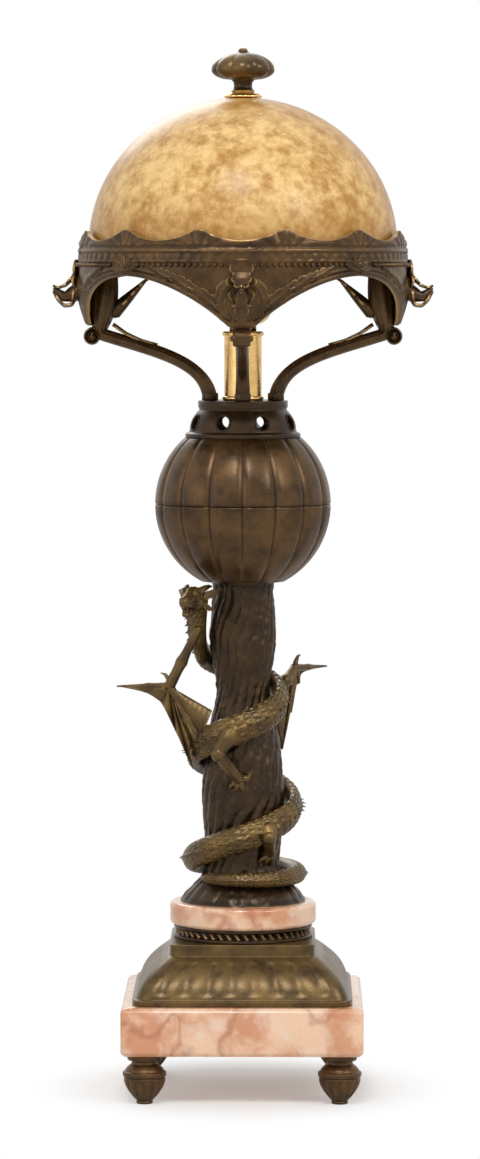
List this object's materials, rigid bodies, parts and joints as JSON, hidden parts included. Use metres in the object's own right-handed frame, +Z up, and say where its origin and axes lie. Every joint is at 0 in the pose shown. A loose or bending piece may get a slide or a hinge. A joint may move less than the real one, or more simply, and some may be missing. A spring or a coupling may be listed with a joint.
{
  "type": "figural table lamp",
  "caption": "Table lamp with an amber glass dome on a bronze gallery and scroll arms, over a gored globe, a column with a coiled winged dragon, and a marble and bronze foot.",
  "frame": {"origin": "on the table, under the lamp's axis", "axes": "+Z up along the lamp's axis, -Y the front, +X the lamp's right as seen from the front"},
  "size_m": [0.256, 0.256, 0.6977],
  "materials": {
    "dark_bronze": "patinated bronze, dark brown, satin",
    "bronze": "patinated bronze, brown with rubbed edges, satin",
    "olive_bronze": "patinated bronze, olive gold, satin",
    "brass": "satin, lightly tarnished",
    "marble": "polished marble, peach with red and white mottling",
    "amber_glass": "opal glass with a mottled amber lustre",
    "clear_glass": "clear",
    "steel": "zinc plated",
    "ceramic": "white glaze",
    "rubber": "matt",
    "fibre": "matt fibre",
    "brown_pvc": "flexible insulation",
    "blue_pvc": "flexible insulation",
    "copper": "bright"
  },
  "bodies": {
    "stand": {"front_left_foot": "bronze", "front_right_foot": "bronze", "rear_left_foot": "bronze", "rear_right_foot": "bronze", "foot_studs": "steel", "foot_nuts": "steel", "marble_plinth": "marble", "clamp_washer": "steel", "clamp_nut": "steel", "bronze_base": "olive_bronze", "cord_bush": "brass", "terminal_block": "ceramic", "terminal_screws": "brass", "live_wire": "brown_pvc", "neutral_wire": "blue_pvc", "socle_ring": "dark_bronze", "marble_disc": "marble", "tie_rod": "steel", "column": "dark_bronze", "dragon_body": "olive_bronze", "dragon_head": "olive_bronze", "left_wing": "olive_bronze", "right_wing": "olive_bronze", "lower_globe": "dark_bronze", "upper_globe": "dark_bronze", "collar": "dark_bronze", "stem": "brass", "front_arm": "dark_bronze", "rear_arm": "dark_bronze", "left_arm": "dark_bronze", "right_arm": "dark_bronze", "arm_screws": "steel", "ledge_screws": "steel", "gallery": "bronze", "spur_leaves": "bronze", "shade_gasket": "rubber", "holder_cap": "brass", "holder_shell": "brass", "holder_liner": "fibre", "holder_body": "ceramic", "screw_shell": "brass", "centre_contact": "copper", "key_bush": "brass"},
    "shade": {"shade_dome": "amber_glass", "crown_cap": "brass", "crown_washer": "brass", "crown_nut": "brass", "finial_stud": "brass"},
    "finial": {"finial": "bronze"},
    "bulb": {"bulb_cap": "steel", "bulb_contact": "copper", "bulb_glass": "clear_glass", "bulb_mount": "clear_glass"},
    "switch": {"switch_key": "dark_bronze"}
  },
  "joints": [
    {"name": "shade_lift", "type": "slide", "parent": "stand", "child": "shade", "axis": [0, 0, 1], "range_m": [0, 0.15]},
    {"name": "finial_turn", "type": "hinge", "parent": "shade", "child": "finial", "pos_m": [0, 0, 0.682], "axis": [0, 0, 1], "continuous": true},
    {"name": "bulb_turn", "type": "hinge", "parent": "stand", "child": "bulb", "pos_m": [0, 0, 0.56], "axis": [0, 0, 1], "continuous": true},
    {"name": "switch_turn", "type": "hinge", "parent": "stand", "child": "switch", "pos_m": [0, 0, 0.535], "axis": [0.7071, -0.7071, 0], "continuous": true}
  ]
}
